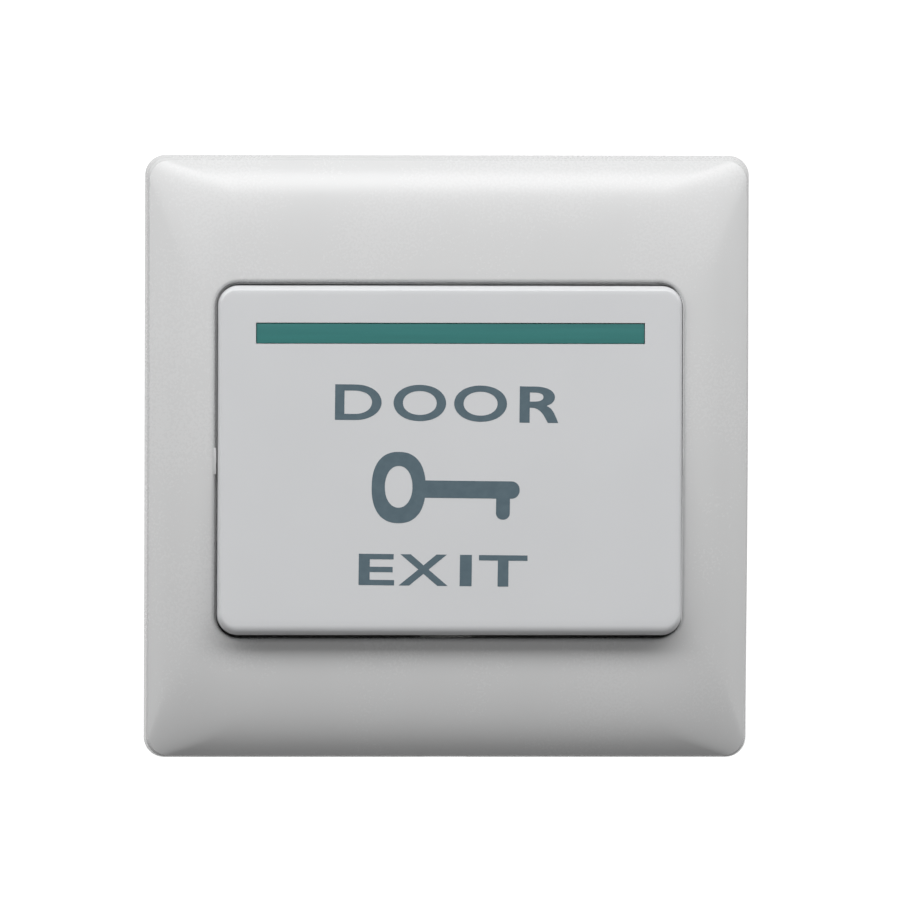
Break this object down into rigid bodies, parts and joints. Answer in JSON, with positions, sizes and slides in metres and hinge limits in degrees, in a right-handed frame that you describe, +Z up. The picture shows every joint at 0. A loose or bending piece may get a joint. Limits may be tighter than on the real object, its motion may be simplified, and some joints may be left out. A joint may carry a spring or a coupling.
{
  "type": "door exit button",
  "caption": "Square wall plate with a large hinged push plate that closes a contact behind it to release a door, and a luminous strip to find it in the dark.",
  "frame": {"origin": "centre of the square wall plate, on the plane of the wall", "axes": "+X to the right and +Z up as the wall plate is seen from in front, +Y into the wall"},
  "size_m": [0.086, 0.0224, 0.086],
  "materials": {
    "white_abs": "satin white moulded plastic",
    "plate_abs": "fine satin white moulded plastic",
    "chassis": "plain moulded plastic",
    "block": "plain moulded plastic",
    "teal": "satin teal luminous plastic",
    "acetal": "natural acetal",
    "brass": "stamped brass",
    "contact": "silver alloy",
    "steel": "zinc-plated steel"
  },
  "bodies": {
    "base": {"outer_frame": "white_abs", "mounting_plate": "chassis", "switch_housing": "block", "housing_screw_top": "steel", "housing_screw_bottom": "steel", "terminal_com": "brass", "terminal_no": "brass", "fixed_contact_com": "contact", "fixed_contact_no": "contact", "clamp_plate_com": "steel", "clamp_plate_no": "steel", "terminal_screw_com": "steel", "terminal_screw_no": "steel", "plate_spring_left": "steel", "plate_spring_right": "steel", "return_spring": "steel"},
    "push_plate_body": {"push_plate": "plate_abs", "luminous_strip": "teal"},
    "plunger_body": {"plunger": "acetal", "contact_bridge": "brass", "contact_spring": "steel", "moving_contact_com": "contact", "moving_contact_no": "contact"}
  },
  "joints": [
    {"name": "push_plate_hinge", "type": "hinge", "parent": "base", "child": "push_plate_body", "pos_m": [0, -0.0044, 0.0203], "axis": [1, 0, 0], "range_deg": [0, 2.5], "stiffness_Nm_per_rad": 1, "springref_deg": -5.73, "deforming": ["plate_spring_left", "plate_spring_right"]},
    {"name": "plunger_slide", "type": "slide", "parent": "base", "child": "plunger_body", "axis": [0, 1, 0], "range_m": [0, 0.00127], "deforming": ["return_spring"]}
  ],
  "couplings": [
    {"joint": "plunger_slide", "follows": "push_plate_hinge", "m_per_rad": 0.029}
  ]
}
